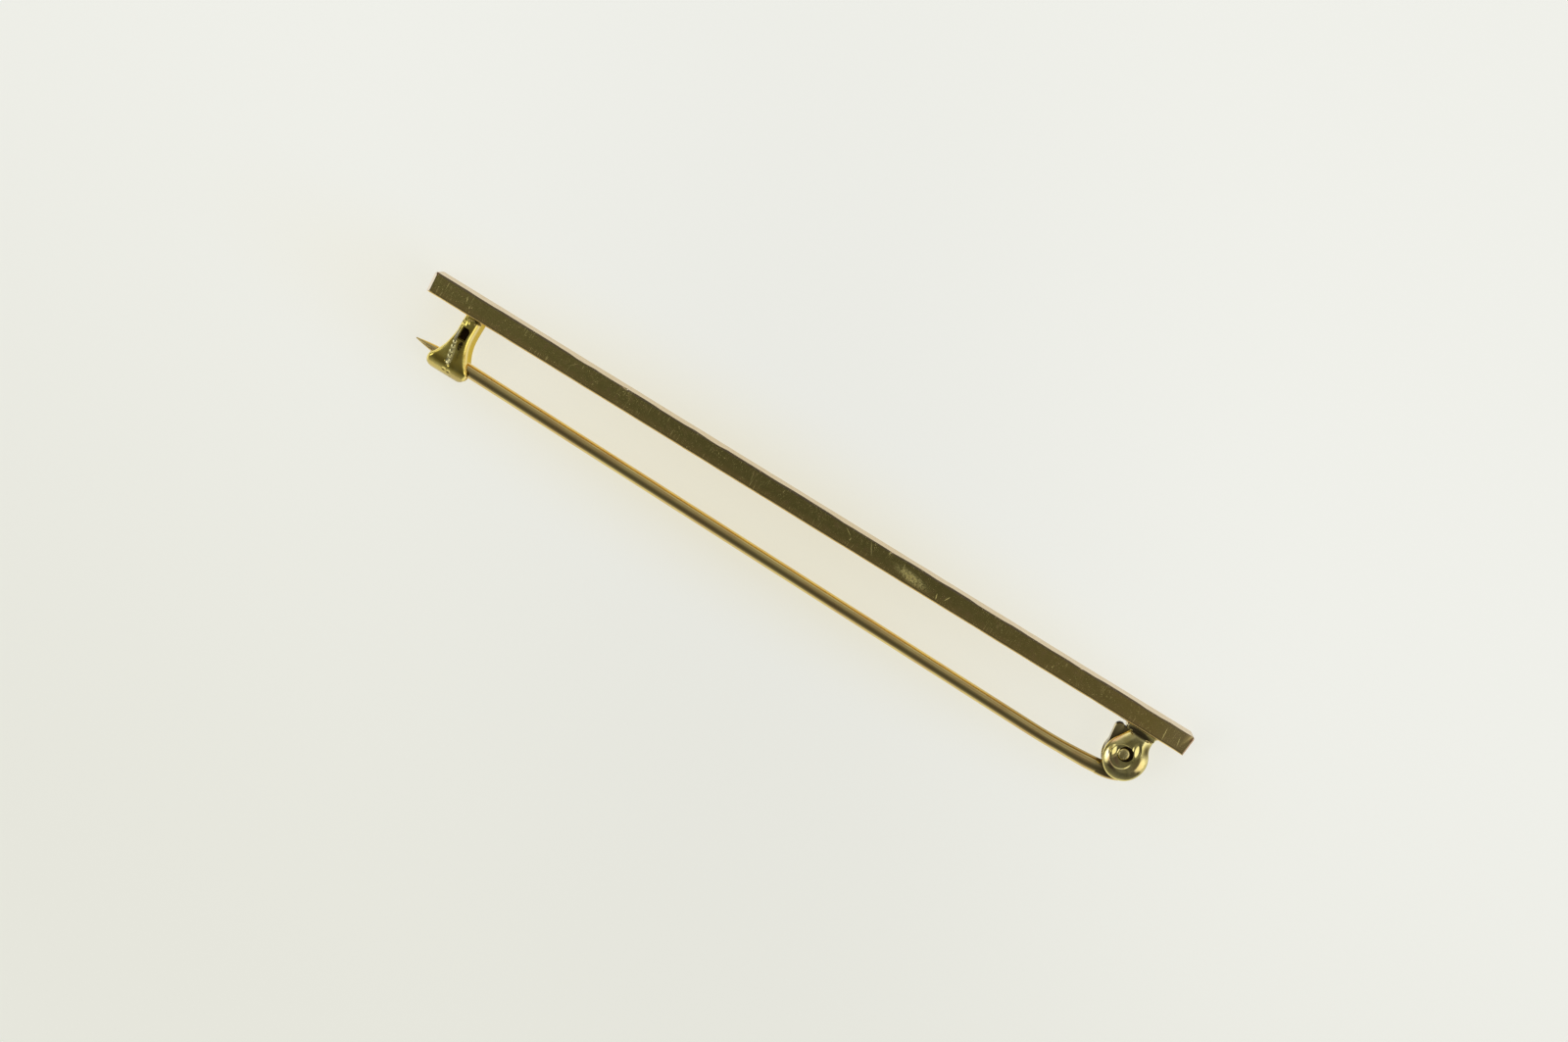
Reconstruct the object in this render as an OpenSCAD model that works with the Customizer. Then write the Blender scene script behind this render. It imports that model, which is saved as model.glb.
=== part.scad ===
/* [Bar] */
// Length of the bar
bar_l = 56; // [50:1:64]
// Depth of the bar from its back to its front
bar_d = 1.38; // [1.3:0.02:1.8]
// Width of the bar across its front
bar_w = 2.4; // [2.3:0.05:3.5]
// Bevel along the four long edges
edge_bevel = 0.07; // [0.04:0.01:0.12]
// Worn bevel on the front corner of each end
corner_wear = 0.2; // [0.1:0.02:0.3]
// How much shorter the back is than the front at each end
end_slant = 0.12; // [0.02:0.02:0.2]

/* [Findings] */
// Width of the catch and of the hinge bracket, across the bar
finding_w = 2.2; // [2.2:0.02:2.3]
// Catch, from the end of the bar to its middle
catch_inset = 3.5; // [3:0.1:5]
// Hinge, from the end of the bar to its rivet
hinge_inset = 3.2; // [3:0.1:4]

/* [Catch] */
// Thickness of the hook's sheet
sheet_t = 0.45; // [0.4:0.01:0.5]
// Middle of the hook's curl, behind the bar
curl_y = 2.98; // [2.9:0.02:3.1]
// Width of the neck on its near face
neck_w = 0.95; // [0.9:0.05:1.1]
// How far each side of the neck spreads towards its far face
neck_splay = 0.15; // [0.1:0.01:0.2]
// Width of the hook
hook_w = 2.82; // [2.6:0.02:3]
// Radius of the hollow flare between the neck and the hook
flare_r = 3.3; // [3.1:0.05:3.5]
// Where the flare begins, behind the bar
flare_y = 1.0; // [0.9:0.02:1.1]
// Length of the foot on its far side, from which it slopes to the curl
foot_l = 1.1; // [0.9:0.05:1.15]
// Straight lip that ends the curl
lip_l = 0.1; // [0.04:0.02:0.12]
// Radius of the hook's lower corners
corner_r = 0.36; // [0.2:0.02:0.5]
// Width of the pocket sunk in the neck
pocket_w = 0.52; // [0.4:0.02:0.56]
// Length of the pocket
pocket_l = 0.82; // [0.6:0.02:0.9]
// Depth of the pocket
pocket_d = 0.6; // [0.3:0.05:0.8]
// Middle of the pocket, behind the bar
pocket_y = 1.16; // [1.1:0.02:1.2]

/* [Hinge bracket] */
// Rivet, behind the bar
rivet_y = 1.9; // [1.86:0.02:1.94]
// Thickness of the base plate
plate_t = 0.36; // [0.3:0.02:0.36]
// Thickness of each ear
ear_t = 0.55; // [0.53:0.01:0.55]
// Radius of each ear
ear_r = 1.45; // [1.42:0.01:1.5]
// Radius of the rounded rim of each ear
ear_rim_r = 0.3; // [0.2:0.02:0.4]
// Radius of the shallow ring sunk round the rivet
ring_r = 0.72; // [0.66:0.02:0.76]
// Depth of that ring
ring_d = 0.07; // [0.04:0.01:0.1]

/* [Rivet] */
// Radius of the rivet
rivet_r = 0.4; // [0.36:0.01:0.42]
// Clearance of the eye on the rivet, on the radius
eye_clearance = 0.04; // [0.02:0.01:0.06]

/* [Pin] */
// Diameter of the stem
stem_d = 0.89; // [0.8:0.01:0.92]
// Middle of the stem behind the bar, at the catch
stem_y_catch = 3.04; // [3:0.01:3.08]
// Middle of the stem behind the bar, where it starts to bend up to the eye
stem_y_bend = 3.7; // [3.66:0.02:3.74]
// Start of the bend, from the rivet
bend_start = 5.8; // [5.6:0.1:6.4]
// Radius of the bend
bend_r = 40; // [38:1:44]
// Slope of the stem where it meets the eye, in degrees
bend_end = 6; // [5:0.5:6.5]
// Length of the stem past the middle of the catch
tip_l = 2.67; // [2.4:0.05:2.9]
// Thickness of the eye
eye_t = 1.0; // [0.96:0.01:1.02]
// Radius of the eye
eye_r = 1.34; // [1.3:0.01:1.36]

/* [Hidden] */

$fn = 96;
// Past each face that a cut runs through
over = 0.5;

half_l = bar_l / 2;
catch_x = catch_inset - half_l;
hinge_x = half_l - hinge_inset;
mid_z = finding_w / 2;
curl_r = mid_z;
curl_bore_r = curl_r - sheet_t;

// Middle of the ears' round part, from the rivet
ear_shift = [0.2, -0.14];
// Neck of the ears, from the rivet
neck_left = -0.6;
neck_right = 1.2;
neck_fillet_r = 1.0;
// Left end of the base plate, from the rivet, and the solder fillets at both its ends
plate_left = -0.75;
fillet_r = 0.18;
// Wider first part of the rivet's hole in each ear
sink_r = rivet_r + 0.1;
sink_d = 0.2;
// Gap between the rivet and the ears, on the radius
seat_gap = 0.01;
// How far each end of the rivet stays inside the ears' faces
rivet_inset = 0.03;
rivet_dome = 0.08;

stem_r = stem_d / 2;
stem_slope = atan2(stem_y_bend - stem_y_catch, hinge_x - bend_start - catch_x);
bend_x = hinge_x - bend_start;
// Middle of the bend's circle, and where the bend ends
bend_mid = [bend_x + bend_r * sin(stem_slope), -stem_y_bend + bend_r * cos(stem_slope)];
root = [bend_mid[0] + bend_r * sin(bend_end), bend_mid[1] - bend_r * cos(bend_end)];
stem_l = (bend_x - catch_x) / cos(stem_slope) + tip_l;
// The point, from the tip to just past the hook: distance from the tip, and the radius as a share of the stem's
POINT = [[0, 0.08], [0.45, 0.28], [1.4, 0.61], [2.5, 0.86], [3.4, 0.96], [4.3, 1]];
// Radius of the curve that carries the stem's underside round the eye, and how far it stands proud of the stem
root_curve_r = 4;
root_curve_proud = 0.02;
root_curve = root + (root_curve_r - stem_r - root_curve_proud) * [-sin(bend_end), cos(bend_end)];
// How far the flat eye runs back over the end of the bend
eye_overlap = 0.1;
// Stop on the eye, from the rivet: a round-cornered lobe beside the base plate, and the part under the plate
stop_left = -1.4;
stop_foot = -1.2;
lobe_right = -0.82;
lobe_top = 1.6;
lobe_round = 0.3;
stop_right = -0.3;
stop_gap = 0.04;

// Everything is drawn from the bar's back at y = 0 and placed here, with the bar's middle at y = 0
module placed() {
    translate([0, -bar_d / 2, 0])
        children();
}

// Extrudes a (y, z) section along X, centred on x = 0
module along_x(length) {
    rotate([90, 0, 90])
        linear_extrude(length, center = true)
            children();
}

// Plan of the bar, with slanted ends and worn front corners
module bar_plan() {
    back = half_l - end_slant;
    side = half_l - end_slant * corner_wear / bar_d;
    front = half_l - corner_wear;
    polygon([
        [-back, 0], [back, 0],
        [side, bar_d - corner_wear], [front, bar_d],
        [-front, bar_d], [-side, bar_d - corner_wear]
    ]);
}

// Section of the bar, with bevelled long edges
module bar_section() {
    b = edge_bevel;
    polygon([
        [b, 0], [bar_d - b, 0], [bar_d, b], [bar_d, bar_w - b],
        [bar_d - b, bar_w], [b, bar_w], [0, bar_w - b], [0, b]
    ]);
}

module bar() {
    color([0.66, 0.55, 0.3])
        intersection() {
            linear_extrude(bar_w)
                bar_plan();
            along_x(bar_l + over)
                bar_section();
        }
}

// Side view of the catch: foot, near wall, curl under the stem, and lip
module catch_section() {
    // The foot's far side slopes until it touches the inside of the curl
    run = [foot_l - curl_y, mid_z];
    away = norm(run);
    turn = atan2(run[1], run[0]) - asin(curl_bore_r / away);
    slope_l = sqrt(away * away - curl_bore_r * curl_bore_r);
    touch = [-foot_l, 0] + slope_l * [cos(turn), sin(turn)];
    difference() {
        union() {
            polygon([
                [0, 0], [0, finding_w], [-curl_y, finding_w],
                [-curl_y, mid_z], touch, [-foot_l, 0]
            ]);
            intersection() {
                translate([-curl_y, mid_z])
                    circle(curl_r);
                translate([-curl_y - curl_r, 0])
                    square([curl_r, finding_w]);
            }
        }
        translate([-curl_y, mid_z])
            circle(curl_bore_r);
    }
    translate([-curl_y, 0])
        square([lip_l, sheet_t]);
    translate([lip_l - curl_y, sheet_t / 2])
        circle(sheet_t / 2);
}

// What is cut away on the +X side of the catch: beside the neck, the flare, and the hook's corner
module flare_cut() {
    near = neck_w / 2;
    far = near + neck_splay;
    reach = flare_y + over;
    rotate([90, 0, 0])
        translate([0, 0, flare_y - reach])
            linear_extrude(reach)
                polygon([
                    [far, -over], [far, 0], [near, finding_w], [near, finding_w + over],
                    [hook_w, finding_w + over], [hook_w, -over]
                ]);
    translate([near + flare_r, -flare_y, -over])
        cylinder(h = over, r = flare_r - neck_splay);
    translate([near + flare_r, -flare_y, 0])
        cylinder(h = finding_w, r1 = flare_r - neck_splay, r2 = flare_r);
    translate([near + flare_r, -flare_y, finding_w])
        cylinder(h = over, r = flare_r);
    translate([hook_w / 2 - corner_r, corner_r - curl_y - curl_r, -over])
        difference() {
            translate([0, -corner_r - over, 0])
                cube([corner_r + over, corner_r + over, finding_w + 2 * over]);
            cylinder(h = finding_w + 2 * over, r = corner_r);
        }
}

module catch() {
    color([0.86, 0.68, 0.28])
        translate([catch_x, 0, 0])
            difference() {
                along_x(hook_w)
                    catch_section();
                flare_cut();
                mirror([1, 0, 0])
                    flare_cut();
                translate([-pocket_w / 2, -pocket_y - pocket_l / 2, finding_w - pocket_d])
                    cube([pocket_w, pocket_l, pocket_d + over]);
            }
}

// One ear lying on z = 0, with its rounded rim upwards
module ear() {
    flat_r = ear_r - ear_rim_r;
    translate([ear_shift[0], ear_shift[1], 0])
        rotate_extrude() {
            square([flat_r, ear_t]);
            square([ear_r, ear_t - ear_rim_r]);
            translate([flat_r, ear_t - ear_rim_r])
                intersection() {
                    circle(ear_rim_r);
                    square(ear_rim_r);
                }
        }
    linear_extrude(ear_t)
        ear_neck();
}

// Neck between the base plate and the round part of an ear, from the rivet
module ear_neck() {
    top = rivet_y - plate_t;
    corner = [neck_left, top];
    // Left side: a line from the plate that touches the round part
    run = corner - ear_shift;
    away = norm(run);
    turn = atan2(run[1], run[0]) + acos(ear_r / away);
    touch = ear_shift + ear_r * [cos(turn), sin(turn)];
    // Right side: a hollow curve that touches the neck and the round part
    side = neck_right + neck_fillet_r - ear_shift[0];
    fillet = [neck_right + neck_fillet_r, ear_shift[1] + sqrt(pow(ear_r + neck_fillet_r, 2) - side * side)];
    meet = ear_shift + (fillet - ear_shift) * ear_r / (ear_r + neck_fillet_r);
    polygon([corner, touch, ear_shift, [neck_right, fillet[1]], [neck_right, top]]);
    difference() {
        polygon([ear_shift, meet, fillet, [neck_right, fillet[1]]]);
        translate(fillet)
            circle(neck_fillet_r);
    }
}

// Sunk ring, wider mouth and hole for the rivet, in a face at z = 0 that looks up
module rivet_seat() {
    translate([0, 0, -ring_d])
        cylinder(h = ring_d + over, r = ring_r);
    translate([0, 0, -sink_d])
        cylinder(h = sink_d + over, r = sink_r);
    translate([0, 0, -ear_t - over])
        cylinder(h = ear_t + 2 * over, r = rivet_r + seat_gap);
}

// Solder fillet at the +X end of the base plate, drawn against the bar's back
module solder_fillet() {
    difference() {
        translate([0, -fillet_r])
            square([fillet_r, fillet_r]);
        translate([fillet_r, -fillet_r])
            circle(fillet_r);
    }
}

module hinge_bracket() {
    color([0.74, 0.68, 0.42])
        translate([hinge_x, -rivet_y, 0])
            difference() {
                union() {
                    linear_extrude(finding_w) {
                        translate([plate_left, rivet_y - plate_t])
                            square([neck_right - plate_left, plate_t]);
                        translate([neck_right, rivet_y])
                            solder_fillet();
                        translate([plate_left, rivet_y])
                            mirror([1, 0])
                                solder_fillet();
                    }
                    translate([0, 0, finding_w - ear_t])
                        ear();
                    translate([0, 0, ear_t])
                        mirror([0, 0, 1])
                            ear();
                }
                translate([0, 0, finding_w])
                    rivet_seat();
                mirror([0, 0, 1])
                    rivet_seat();
            }
}

// The bar with the catch and the hinge bracket soldered to its back
module bar_body() {
    placed() {
        bar();
        catch();
        hinge_bracket();
    }
}

module hinge_rivet() {
    half = mid_z - rivet_inset;
    color([0.6, 0.52, 0.3])
        placed()
            translate([hinge_x, -rivet_y, mid_z])
                rotate_extrude()
                    polygon([
                        [0, -half], [rivet_r - rivet_dome, -half], [rivet_r, rivet_dome - half],
                        [rivet_r, half - rivet_dome], [rivet_r - rivet_dome, half], [0, half]
                    ]);
}

// Straight stem with its point, drawn along X from the start of the bend at x = 0
module stem() {
    last = len(POINT) - 1;
    rotate([0, -90, 0])
        rotate_extrude()
            polygon(concat(
                [[0, 0], [stem_r, 0]],
                [for (i = [last:-1:0]) [stem_r * POINT[i][1], stem_l - POINT[i][0]]],
                [[0, stem_l]]
            ));
}

// Bend that turns the stem up to the underside of the eye, drawn from x = 0
module bend() {
    translate([0, bend_r, 0])
        rotate([0, 0, -90])
            rotate_extrude(angle = stem_slope + bend_end)
                translate([bend_r, 0])
                    circle(stem_r);
}

// Flat outline of the eye with its stop, from the rivet
module eye_plan() {
    lobe = [stop_left + lobe_round, lobe_top - lobe_round];
    under = rivet_y - plate_t - stop_gap;
    circle(eye_r);
    translate(lobe)
        circle(lobe_round);
    polygon([
        [lobe[0], lobe_top], [lobe_right, lobe_top], [lobe_right, under], [stop_right, under],
        [stop_right, 0], [stop_foot, 0.3], [stop_left, lobe[1]], lobe
    ]);
    from = root - [hinge_x + eye_overlap, -rivet_y];
    intersection() {
        translate(root_curve - [hinge_x, -rivet_y])
            circle(root_curve_r);
        polygon([
            [from[0], -0.5], [from[0], from[1] - stem_d], [0.75, from[1] - stem_d],
            [0.93, -1], [0.8, -0.3]
        ]);
    }
}

// Flat eye that turns on the rivet
module eye() {
    translate([hinge_x, -rivet_y, mid_z])
        difference() {
            linear_extrude(eye_t, center = true)
                eye_plan();
            cylinder(h = eye_t + over, r = rivet_r + eye_clearance, center = true);
        }
}

// Stem, bend and eye, forged in one piece
module pin_stem() {
    color([0.7, 0.6, 0.32])
        placed() {
            translate([bend_x, -stem_y_bend, mid_z])
                rotate([0, 0, -stem_slope])
                    union() {
                        stem();
                        bend();
                    }
            eye();
        }
}

bar_body();
hinge_rivet();
pin_stem();
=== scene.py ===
import math
import random

import bmesh
import bpy
from mathutils import Matrix, Vector


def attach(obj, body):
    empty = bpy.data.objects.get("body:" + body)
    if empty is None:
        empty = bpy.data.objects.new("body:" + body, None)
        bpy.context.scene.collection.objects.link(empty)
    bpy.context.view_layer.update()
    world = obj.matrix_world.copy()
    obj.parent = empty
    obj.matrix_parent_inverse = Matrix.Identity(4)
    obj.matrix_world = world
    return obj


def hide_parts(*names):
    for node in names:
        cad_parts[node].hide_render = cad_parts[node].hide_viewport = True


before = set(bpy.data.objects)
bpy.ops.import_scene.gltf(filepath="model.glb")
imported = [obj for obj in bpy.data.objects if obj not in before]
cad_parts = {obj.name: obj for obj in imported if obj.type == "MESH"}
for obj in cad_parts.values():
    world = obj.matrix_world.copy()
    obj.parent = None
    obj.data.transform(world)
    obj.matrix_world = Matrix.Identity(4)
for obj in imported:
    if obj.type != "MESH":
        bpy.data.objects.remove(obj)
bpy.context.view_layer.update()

MM = 0.001

# Sizes in millimetres, as in the part's drawing: y is measured from the bar's back, +Y to the front
BAR_L, BAR_D, BAR_W = 56.0, 1.38, 2.4
END_SLANT = 0.12
FINDING_W = 2.2
CATCH_X, HINGE_X = -24.5, 24.8
HALF_L = BAR_L / 2
BAR_LEFT, BAR_RIGHT = -28.11, 28.02
BAR_EDGE_R, BAR_BACK_R, BAR_CORNER_R = 0.05, 0.18, 0.2
# Width of the worn slope at the bar's left and right end
WORN_LEFT, WORN_RIGHT = 0.17, 0.08
BACK_Y = -BAR_D / 2
# How far the findings reach into the bar, and where the ears' necks stop short of it
SINK, NECK_END = 0.02, -0.02

# Hook catch
SHEET_T, CURL_Y, CURL_R = 0.45, -2.98, 1.1
HOOK_W, NECK_W, NECK_SPLAY = 2.82, 0.95, 0.15
FLARE_R, FLARE_Y = 3.3, -1.0
FOOT_L, LIP_L, HOOK_CORNER_R = 1.1, 0.1, 0.36
# The left side is wider by this much near the neck, fading out along y from here to the curl
LEFT_BULGE, BULGE_Y, BULGE_RUN = 0.1, -3.2, 1.4

# Hinge
RIVET_Y, RIVET_R = -1.9, 0.4
EAR_T, EAR_R = 0.55, 1.45
EAR_DOME = ((0.0, 0.0), (0.02, 0.05), (0.06, 0.10), (0.12, 0.15), (0.20, 0.197), (0.29, 0.24), (0.39, 0.28),
            (0.50, 0.317), (0.62, 0.345))
EAR_SHIFT = (0.2, -0.14)
EAR_STRETCH = 1.065
# Dish and sunk mouth in the ears' faces: shift from the rivet, radii at the face and at the bottom, depth
DISH, MOUTH = ((-0.08, -0.2), 0.81, 0.745, 0.052), ((0.09, 0.07), 0.50, 0.48, 0.26)
PLATE_T, PLATE_LEFT, PLATE_RIGHT = 0.36, -0.75, 1.2
NECK_LEFT, NECK_RIGHT, NECK_FILLET_R = -0.22, 1.2, 1.0
MID_Z = FINDING_W / 2

# Pin
STEM_R, EYE_R, EYE_T, EYE_BORE_R = 0.445, 1.25, 1.0, 0.44
STEM_Y_CATCH, STEM_Y_BEND = -3.04, -3.7
BEND_X, BEND_R, BEND_END = 19.0, 40.0, math.radians(6)
TIP_L = 2.67
POINT = ((4.3, 1.0), (3.8, 0.985), (3.4, 0.96), (2.95, 0.92), (2.5, 0.86), (1.95, 0.745), (1.4, 0.61),
         (0.9, 0.45), (0.45, 0.28), (0.2, 0.17), (0.0, 0.08))
LOBE_LEFT, LOBE_RIGHT, LOBE_TOP = 1.42, 0.82, 1.57
ROOT, ROOT_CURVE, ROOT_CURVE_R, ROOT_HALF = (23.788, -3.4855), (23.75, -0.1), 3.93, 0.42
ROOT_BEND, ROOT_BEND_R = math.radians(26), 3.55
# The wire grows wider and sinks a little towards the root, within this reach
ROOT_WIDER, ROOT_DROP, ROOT_REACH = 1.12, 0.045, 3
STOP_GAP = 0.04

# Photograph: width in pixels, and pixels a millimetre
PHOTO_W, PHOTO_SCALE = 1600, 16.205

# Axes by number, and how close to a value counts as there
X, Y, Z = 0, 1, 2
CLOSE = 0.01


def m(x, y, z):
    """Millimetres on the drawing to metres in the frame: a point, with y from the bar's back."""
    return Vector((x * MM, (y + BACK_Y) * MM, z * MM))


# Modelling helpers

def deselect():
    bpy.ops.object.select_all(action="DESELECT")


def take(obj):
    """Makes obj the one selected and active object."""
    deselect()
    obj.select_set(True)
    bpy.context.view_layer.objects.active = obj


def settle(obj):
    """Puts the object at the origin, with its place in its mesh."""
    take(obj)
    bpy.ops.object.transform_apply(location=True, rotation=True, scale=True)
    return obj


def primitive(kind, name, **sizes):
    deselect()
    getattr(bpy.ops.mesh, f"primitive_{kind}_add")(**sizes)
    obj = bpy.context.object
    obj.name = obj.data.name = name
    return settle(obj)


def block(name, low, high):
    """A box between two corners in drawing millimetres."""
    a, b = m(*low), m(*high)
    return primitive("cube", name, size=1, location=(a + b) / 2, scale=b - a)


def rod(name, centre, radius, depth, vertices=48):
    """A cylinder along Z."""
    return primitive("cylinder", name, vertices=vertices, radius=radius * MM, depth=depth * MM,
                     location=m(*centre))


def edit(obj):
    take(obj)
    bpy.ops.object.mode_set(mode="EDIT")
    bpy.ops.mesh.select_mode(type="VERT")
    bpy.ops.mesh.select_all(action="DESELECT")


def leave():
    bpy.ops.object.mode_set(mode="OBJECT")


def pick(obj, mode, test):
    """Selects verts, edges or faces that pass the test, which gets each middle in drawing millimetres."""
    bpy.ops.mesh.select_mode(type=mode)
    bpy.ops.mesh.select_all(action="DESELECT")
    bm = bmesh.from_edit_mesh(obj.data)
    for e in {"VERT": bm.verts, "EDGE": bm.edges, "FACE": bm.faces}[mode]:
        points = [v.co for v in ([e] if mode == "VERT" else e.verts)]
        mid = sum(points, Vector()) / len(points) / MM - Vector((0, BACK_Y, 0))
        if test(e, mid):
            e.select_set(True)
    bm.select_flush_mode()
    bmesh.update_edit_mesh(obj.data)


def direction(edge):
    return (edge.verts[1].co - edge.verts[0].co).normalized()


def runs(edge, axis):
    """Whether an edge runs along an axis."""
    return abs(direction(edge)[axis]) > 0.9


def shift(x, y, z=0, **settings):
    """Moves what is selected, in millimetres."""
    bpy.ops.transform.translate(value=(x * MM, y * MM, z * MM), **settings)


def bevel(width, segments, **settings):
    """Rounds the selected edges, or cuts them off with one segment."""
    bpy.ops.mesh.bevel(offset=width * MM, segments=segments, affect="EDGES", **settings)


def weld(distance):
    """Selects all and joins what is nearer than that."""
    bpy.ops.mesh.select_all(action="SELECT")
    bpy.ops.mesh.remove_doubles(threshold=distance * MM)


def slice_at(point, normal):
    """Cuts new edges across the whole mesh."""
    bpy.ops.mesh.select_all(action="SELECT")
    bpy.ops.mesh.bisect(plane_co=point, plane_no=normal)


def modifier(obj, kind, **settings):
    take(obj)
    mod = obj.modifiers.new(kind.lower(), kind)
    for key, value in settings.items():
        setattr(mod, key, value)
    bpy.ops.object.modifier_apply(modifier=mod.name)
    return obj


def cut(obj, tool, operation="DIFFERENCE", solver="EXACT"):
    """Takes the tool's shape out of obj, adds it or keeps what they share, and deletes the tool."""
    modifier(obj, "BOOLEAN", object=tool, operation=operation, solver=solver)
    bpy.data.objects.remove(tool)


def soften(obj, width, segments, degrees=50):
    """Rounds all edges sharper than that angle."""
    modifier(obj, "BEVEL", width=width * MM, segments=segments, limit_method="ANGLE",
             angle_limit=math.radians(degrees))


def tidy_mesh(obj):
    """Joins doubled points and turns all faces outwards."""
    edit(obj)
    weld(0.0005)
    bpy.ops.mesh.normals_make_consistent(inside=False)
    leave()


def smooth(obj, degrees=35):
    """Smooth shading up to that angle, with flat faces kept flat."""
    take(obj)
    bpy.ops.object.shade_smooth_by_angle(angle=math.radians(degrees))
    return modifier(obj, "WEIGHTED_NORMAL", keep_sharp=True, weight=90)


def grain(obj, name, size, strength):
    """Shifts the surface in and out a little, with a soft noise of that size."""
    texture = bpy.data.textures.new(name, "CLOUDS")
    texture.noise_scale = size * MM
    texture.noise_depth = 2
    modifier(obj, "DISPLACE", texture=texture, texture_coords="LOCAL", strength=strength * MM, mid_level=0.5)
    bpy.data.textures.remove(texture)


# Pieces

# Nicks in the bar's near edges: x, y, half length and half width, all of one depth
BAR_NICKS = ((-14.05, 1.36, 0.2, 0.1), (5.6, 1.37, 0.07, 0.13), (-4.1, 1.38, 0.05, 0.1),
             (-3.3, 0.02, 0.07, 0.08), (19.6, 1.38, 0.09, 0.08), (-20.4, 0.0, 0.12, 0.05))
NICK_DEPTH = 0.07


def make_bar():
    """The bar, with slanted ends, worn front corners and an edge that wear has made a little uneven."""
    bar = block("bar", (BAR_LEFT, 0, 0), (BAR_RIGHT, BAR_D, BAR_W))
    edit(bar)
    for side in (-1, 1):
        pick(bar, "VERT", lambda v, p: p.x * side > 0 and p.y < 0.1)
        shift(-side * END_SLANT, 0)
    pick(bar, "EDGE", lambda e, p: runs(e, X))
    bpy.ops.mesh.subdivide(number_cuts=90)
    # Front corners of the ends
    pick(bar, "EDGE", lambda e, p: runs(e, Z) and abs(p.x) > HALF_L - 0.05 and p.y > 1)
    bevel(BAR_CORNER_R, 3)
    # Near edges of the ends, worn into bright slopes
    for side, width in ((-1, WORN_LEFT), (1, WORN_RIGHT)):
        pick(bar, "EDGE", lambda e, p: (
            side * p.x > HALF_L - 0.25 and p.z > BAR_W - CLOSE and abs(direction(e).x) < 0.5))
        bevel(width, 1)
    leave()
    edit(bar)
    wear = random.Random(4)
    for _ in range(34):
        x0, reach, push = wear.uniform(-27, 27), wear.uniform(0.4, 1.3), wear.uniform(-0.035, 0.012)
        pick(bar, "VERT", lambda v, p: abs(p.x - x0) < reach and p.y > BAR_D - 0.08 and p.z > BAR_W - CLOSE)
        shift(0, push)
    pick(bar, "EDGE", lambda e, p: runs(e, X) and p.y < CLOSE)
    bevel(BAR_BACK_R, 6)
    leave()
    soften(bar, BAR_EDGE_R, 3)
    for x, y, long, wide in BAR_NICKS:
        nick = primitive("uv_sphere", "nick", segments=20, ring_count=12, radius=MM, location=m(x, y, BAR_W),
                         scale=(long, wide, NICK_DEPTH))
        cut(bar, nick, solver="MANIFOLD")
    edit(bar)
    bpy.ops.mesh.select_all(action="SELECT")
    bpy.ops.mesh.fill_holes(sides=12)
    leave()
    tidy_mesh(bar)
    grain(bar, "edge_wear", 1.1, 0.03)
    return smooth(bar)


def catch_half(y, z):
    """Half the catch's width at a height and depth: hollow flares from the neck, wider at the far side."""
    near = NECK_W / 2 + NECK_SPLAY * (1 - z / FINDING_W)
    radius = FLARE_R - NECK_SPLAY * (1 - z / FINDING_W)
    run = min(max(FLARE_Y - y, 0.0), radius * 0.9999)
    wide = near + radius - math.sqrt(radius ** 2 - run ** 2)
    past = CURL_Y - CURL_R + HOOK_CORNER_R - y
    corner = HOOK_CORNER_R - math.sqrt(max(HOOK_CORNER_R ** 2 - past ** 2, 0)) if past > 0 else 0.0
    return min(wide, HOOK_W / 2 - corner)


def foot_line():
    """Slope of the foot's far side, and the y where that slope touches the inside of the curl.

    Fault: it touches at the bottom of the curl, so the foot fills the mouth under the stem. In the
    part's drawing it touches higher up, on the bar's side, which is where adding the arcsine leads.
    """
    bore = CURL_R - SHEET_T
    back, up = -FOOT_L - CURL_Y, MID_Z
    away = math.hypot(back, up)
    turn = math.atan2(up, back) - math.asin(bore / away)
    length = math.sqrt(away ** 2 - bore ** 2)
    return math.tan(turn), -FOOT_L - length * math.cos(turn)


def catch_low(y):
    """Height of the catch's underside at y: flat foot, then its slope, and the curl's inside past that."""
    slope, touch = foot_line()
    bore = CURL_R - SHEET_T
    if y >= -FOOT_L:
        return 0.0
    if y >= touch:
        return (-FOOT_L - y) * slope
    return MID_Z + math.sqrt(max(bore ** 2 - (y - CURL_Y) ** 2, 0.0))


# Plain small round dents on the catch's flat wall, and fainter ones on its curl: x, y and depth
PUNCHES = ((-24.82, -1.80, 0.08), (-24.76, -2.11, 0.09), (-24.70, -2.42, 0.085), (-24.64, -2.73, 0.09))
CURL_DENTS = ((-24.57, -3.05, 0.06), (-24.49, -3.35, 0.06), (-24.58, -3.70, 0.04), (-24.24, -3.72, 0.045),
              (-24.05, -3.95, 0.03))


# Rows of the catch's points are told apart at a thousandth of a millimetre
ROW_CLOSE = 0.0011
# Pocket in the catch's neck: left, right, low and high in x and y, and its depth
POCKET = (-0.3, 0.23, -1.56, -0.72, 0.6)
PUNCH_R = 0.2


def outer(p):
    """Whether a point is on the catch's outer surface: the near wall or the outside of the curl."""
    if p.y > CURL_Y:
        return p.z > FINDING_W - 0.02
    return math.hypot(p.y - CURL_Y, p.z - MID_Z) > CURL_R - 0.1


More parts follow.
